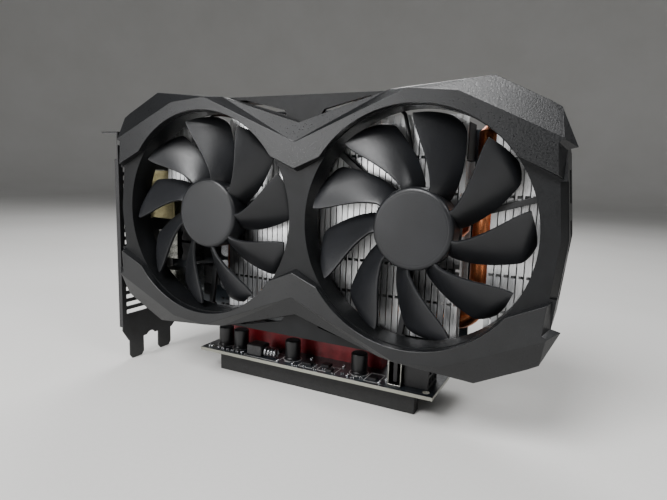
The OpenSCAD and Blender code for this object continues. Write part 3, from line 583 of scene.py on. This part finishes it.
def riser_print():
    """The printed rings, marks and outlines as one mesh."""
    bm = bmesh.new()
    for x, y in RISER_CAPACITORS:
        ring_print(bm, on_riser(x, y, 0.02), CAPACITOR_R + 0.5, 0.3)
        slab(bm, (x - 1.4, y - CAPACITOR_R - 1.6), (x + 1.4, y - CAPACITOR_R - 1.3), INK_T)
    for x, y, wide, deep in PRINTED_BOXES:
        right, back = x + wide, y + deep
        for low, high in (((x, y), (right, y + LINE_W)), ((x, back), (right, back + LINE_W)),
                          ((x, y), (x + LINE_W, back)), ((right, y), (right + LINE_W, back + LINE_W))):
            slab(bm, low, high, INK_T)
    return bm


def riser_parts():
    """The soldered ends and coil turns as one mesh, and the bodies of the small parts as another."""
    solder = bmesh.new()
    ceramic = bmesh.new()
    for x, y in SMALL_PARTS:
        for end in (x - 0.58, x + 0.58):
            slab(solder, (end - 0.18, y - 0.44), (end + 0.18, y + 0.44), 0.66, 0.08)
    for x, y in CROSS_PARTS:
        slab(ceramic, (x - 0.45, y - 0.6), (x + 0.45, y + 0.6), 0.55, 0.04)
        for end in (y - 0.7, y + 0.7):
            slab(solder, (x - 0.5, end - 0.2), (x + 0.5, end + 0.2), 0.62, 0.08)
    for turn in range(4):
        wire_turn(solder, on_riser(-27.6 + turn * 1.8, 20.2, 2.5), 2.0, 0.5)
    return solder, ceramic


class CARD_OT_riser(Operator):
    """Models the riser's print, solder and coil turns, and finishes its sockets and capacitors"""

    bl_idname = "card.riser"
    bl_label = "Riser board"

    def execute(self, context):
        dressed("riser_board", "riser_mask", 0.15)
        dressed("riser_slot", "red_nylon", 0.12)
        paint("riser_slot_contacts", "hard_gold")
        dressed("usb_socket", "nickel_plate", 0.2)
        dressed("usb_insert", "black_nylon", 0.1)
        dressed("riser_power_socket", "black_nylon", 0.25)
        # Black rubber strips under the riser board: real feet, but also painted shade standing in for the shadow
        # beneath the board
        dressed("riser_feet", "rubber_painted_shade", 0.3)
        dressed("riser_chips", "chip_epoxy", 0.1)
        dressed("riser_capacitors", "soft_pvc", 0.15)
        dressed("riser_coil", "iron_powder", 0.6)
        solder, ceramic = riser_parts()
        to_object(riser_print(), "riser_print", "white_ink", "riser")
        to_object(solder, "riser_solder", "bright_solder", "riser")
        to_object(ceramic, "riser_small_parts", "chip_epoxy", "riser")
        return {"FINISHED"}


class CARD_OT_stage(Operator):
    """Adds the floor, the soft lights and the camera"""

    bl_idname = "card.stage"
    bl_label = "Stage"

    def execute(self, context):
        settings = context.scene.card_stage
        # A flat disc that curves up into a wall behind
        bm = lathe([(0, 0), (1900, 0), (2150, 30), (2350, 130), (2500, 300), (2560, 500), (2560, 1500)],
                   Vector((MIDDLE.x, 0, 0)), steps=72, axis=(0, 0, 1))
        for face in bm.faces:
            face.smooth = True
        mesh = bpy.data.meshes.new("floor")
        bm.to_mesh(mesh)
        bm.free()
        floor = bpy.data.objects.new("floor", mesh)
        context.scene.collection.objects.link(floor)
        mesh.materials.append(finish("matt_paper", "#d2d1ce", "#d9d8d6", (0.75, 0.85), patch=200, grain=2,
                                     bump=0.0, specular=0.2))
        place_camera(context, settings.lens)
        place_lights(context, settings.light)
        return {"FINISHED"}


CAMERA_PLACE = (110.7, -187.24, 20.51)
CAMERA_TURN = (-26.44, -8.48, 1.76)  # degrees to the right, up and around the view


def place_camera(context, lens):
    """Camera in front of the card's right end, turned left and slightly down."""
    yaw, pitch, roll = (math.radians(a) for a in CAMERA_TURN)
    forward = Vector((math.sin(yaw) * math.cos(pitch), math.cos(yaw) * math.cos(pitch), math.sin(pitch)))
    right = Vector((math.cos(yaw), -math.sin(yaw), 0))
    up = right.cross(forward)
    side = right * math.cos(roll) + up * math.sin(roll)
    top = up * math.cos(roll) - right * math.sin(roll)
    data = bpy.data.cameras.new("camera")
    data.lens = lens
    data.sensor_width = 36
    data.clip_start = 0.01
    data.clip_end = 50
    camera = bpy.data.objects.new("camera", data)
    camera.matrix_world = Matrix.Translation(in_card(*CAMERA_PLACE)) @ Matrix(
        (side, top, -forward)).transposed().to_4x4()
    context.scene.collection.objects.link(camera)
    context.scene.camera = camera


def place_lights(context, power):
    """A large soft light above the front, weaker ones low in front, right and behind, and a pale room."""
    target = in_card(0, 0, 10)
    for name, way, far, size, share in (
            ("key", (-0.12, -0.68, 0.74), 0.8, 0.42, 1.0),
            ("front", (-0.5, -0.82, 0.14), 0.85, 0.4, 0.3),
            ("right", (0.75, -0.25, 0.62), 0.8, 0.25, 0.2),
            ("rear", (-0.3, 0.7, 0.65), 0.9, 0.5, 0.45)):
        light = bpy.data.lights.new(name, "AREA")
        light.shape = "DISK"
        light.size = size
        light.energy = power * share
        lamp = bpy.data.objects.new(name, light)
        lamp.location = target + Vector(way).normalized() * far
        lamp.rotation_mode = "QUATERNION"
        lamp.rotation_quaternion = (target - lamp.location).to_track_quat("-Z", "Y")
        context.scene.collection.objects.link(lamp)
    world = bpy.data.worlds.new("room")
    world.use_nodes = True
    background = world.node_tree.nodes["Background"]
    background.inputs["Color"].default_value = linear("#d4d6d8")
    background.inputs["Strength"].default_value = 0.16
    context.scene.world = world


class CARD_PT_looks(Panel):
    """Lists the pieces that this add-on builds"""

    bl_idname = "CARD_PT_looks"
    bl_label = "Graphics Card"
    bl_space_type = "VIEW_3D"
    bl_region_type = "UI"
    bl_category = "Graphics Card"

    def draw(self, context):
        for cls in OPERATORS:
            self.layout.operator(cls.bl_idname)
        for settings in (context.scene.card_shroud, context.scene.card_rotor, context.scene.card_stage):
            for name in settings.bl_rna.properties.keys():
                if name not in ("rna_type", "name"):
                    self.layout.prop(settings, name)


SETTINGS = {"card_shroud": CardShroudSettings, "card_rotor": CardRotorSettings,
            "card_stage": CardStageSettings}
OPERATORS = (CARD_OT_stage, CARD_OT_shroud, CARD_OT_rotors, CARD_OT_cooler, CARD_OT_fans, CARD_OT_bracket,
             CARD_OT_board, CARD_OT_riser)


def register():
    for cls in (*SETTINGS.values(), *OPERATORS, CARD_PT_looks):
        bpy.utils.register_class(cls)
    for name, cls in SETTINGS.items():
        setattr(bpy.types.Scene, name, PointerProperty(type=cls))


def unregister():
    for name in SETTINGS:
        delattr(bpy.types.Scene, name)
    for cls in reversed((*SETTINGS.values(), *OPERATORS, CARD_PT_looks)):
        bpy.utils.unregister_class(cls)


def main():
    register()
    for cls in OPERATORS:
        group, name = cls.bl_idname.split(".")
        getattr(getattr(bpy.ops, group), name)()


if __name__ == "__main__":
    main()
